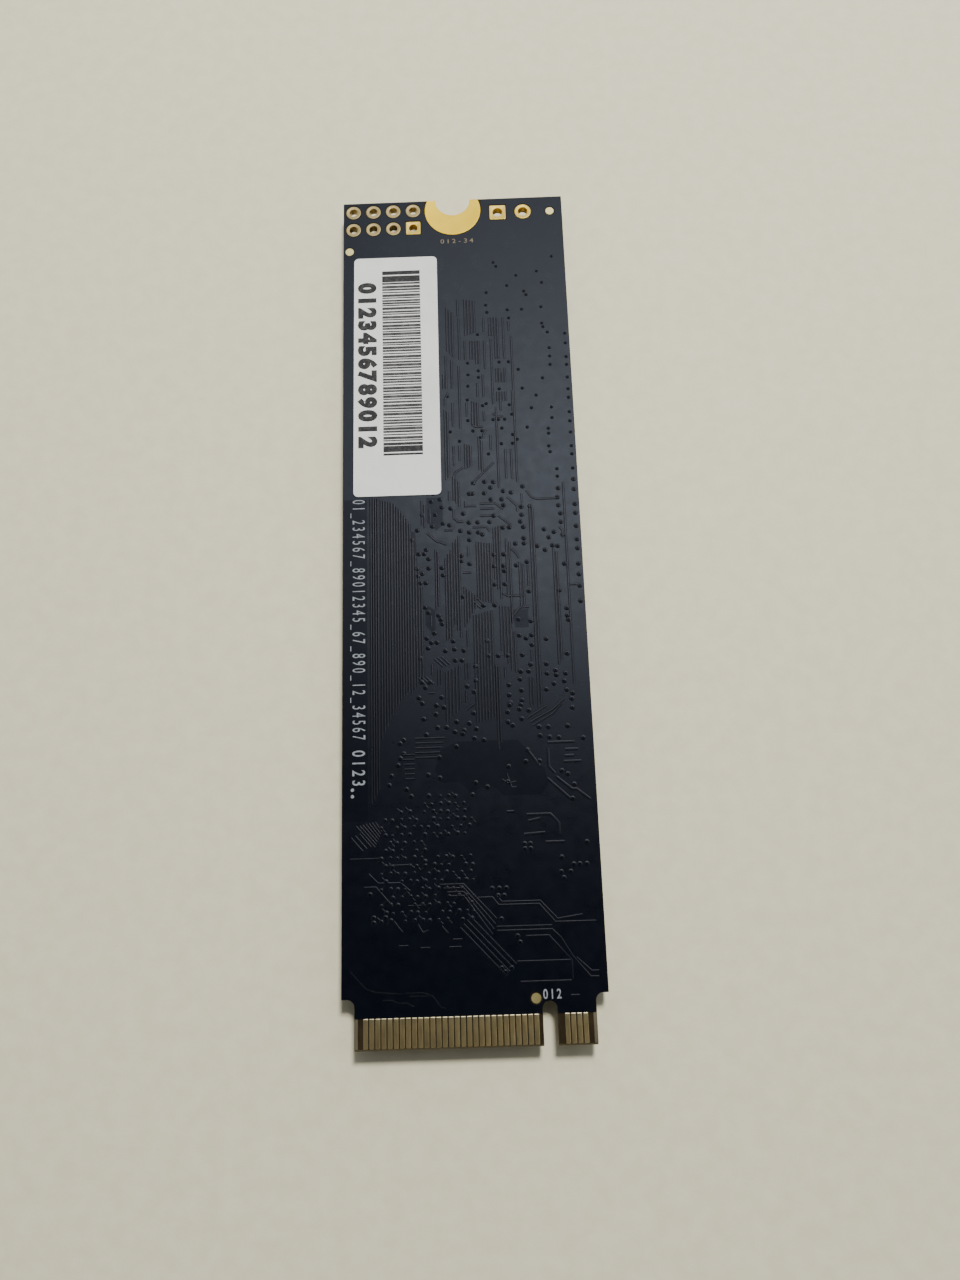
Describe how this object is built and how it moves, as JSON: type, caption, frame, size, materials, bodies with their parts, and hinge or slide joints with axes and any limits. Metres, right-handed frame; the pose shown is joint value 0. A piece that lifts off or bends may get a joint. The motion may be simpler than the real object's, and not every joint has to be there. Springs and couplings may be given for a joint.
{
  "type": "solid state drive",
  "caption": "Bare card solid state drive: 22 by 80 mm circuit card with edge contacts, key, screw notch, paper label, and memory and controller chips on its far side.",
  "frame": {"origin": "middle of the footprint, on the plane of the four memory packages' tops, which the drive rests on", "axes": "+X across the card towards the connector key, +Y along the card from the edge contacts to the screw notch, +Z away from the components, out of the bare side with the label"},
  "size_m": [0.022, 0.08, 0.0021],
  "materials": {
    "glass_epoxy": "sawn glass-fibre and epoxy laminate",
    "solder_mask": "blue-black solder mask, half gloss, following the tracks under it",
    "gold_plating": "immersion gold over copper, satin",
    "label_paper": null,
    "mould_compound": "black moulding compound, fine matt texture",
    "solder": "reflowed solder",
    "ferrite": "pressed iron powder, dark grey",
    "crystal_can": "nickel-plated lid",
    "capacitor_ceramic": "tan ceramic with tinned ends",
    "resistor_body": "black coat with tinned ends"
  },
  "bodies": {
    "root": {"bulk_capacitor_1": "capacitor_ceramic", "bulk_capacitor_2": "capacitor_ceramic", "bulk_capacitor_3": "capacitor_ceramic", "bulk_capacitor_4": "capacitor_ceramic", "bulk_capacitor_5": "capacitor_ceramic", "bulk_capacitor_6": "capacitor_ceramic", "contacts_bare_side": "gold_plating", "contacts_bare_side_key_end": "gold_plating", "contacts_chip_side": "gold_plating", "contacts_chip_side_key_end": "gold_plating", "controller": "mould_compound", "controller_solder_balls": "solder", "coupling_capacitor_1": "capacitor_ceramic", "coupling_capacitor_2": "capacitor_ceramic", "coupling_capacitor_3": "capacitor_ceramic", "coupling_capacitor_4": "capacitor_ceramic", "coupling_capacitor_5": "capacitor_ceramic", "coupling_capacitor_6": "capacitor_ceramic", "coupling_capacitor_7": "capacitor_ceramic", "coupling_capacitor_8": "capacitor_ceramic", "crystal": "crystal_can", "fiducial_bare_side_1": "gold_plating", "fiducial_bare_side_2": "gold_plating", "fiducial_bare_side_3": "gold_plating", "fiducial_chip_side_1": "gold_plating", "fiducial_chip_side_2": "gold_plating", "flash_memory_1": "mould_compound", "flash_memory_1_solder_balls": "solder", "flash_memory_2": "mould_compound", "flash_memory_2_solder_balls": "solder", "flash_memory_3": "mould_compound", "flash_memory_3_solder_balls": "solder", "flash_memory_4": "mould_compound", "flash_memory_4_solder_balls": "solder", "inductor_1": "ferrite", "inductor_2": "ferrite", "inductor_3": "ferrite", "load_switch": "mould_compound", "paper_label": "label_paper", "pcb_core": "glass_epoxy", "plated_hole_1": "gold_plating", "plated_hole_10": "gold_plating", "plated_hole_2": "gold_plating", "plated_hole_3": "gold_plating", "plated_hole_4": "gold_plating", "plated_hole_5": "gold_plating", "plated_hole_6": "gold_plating", "plated_hole_7": "gold_plating", "plated_hole_8": "gold_plating", "plated_hole_9": "gold_plating", "power_regulator": "mould_compound", "resistor_1": "resistor_body", "resistor_2": "resistor_body", "resistor_3": "resistor_body", "resistor_4": "resistor_body", "screw_pad": "gold_plating", "solder_mask_bare_side": "solder_mask", "solder_mask_chip_side": "solder_mask"}
  },
  "joints": []
}
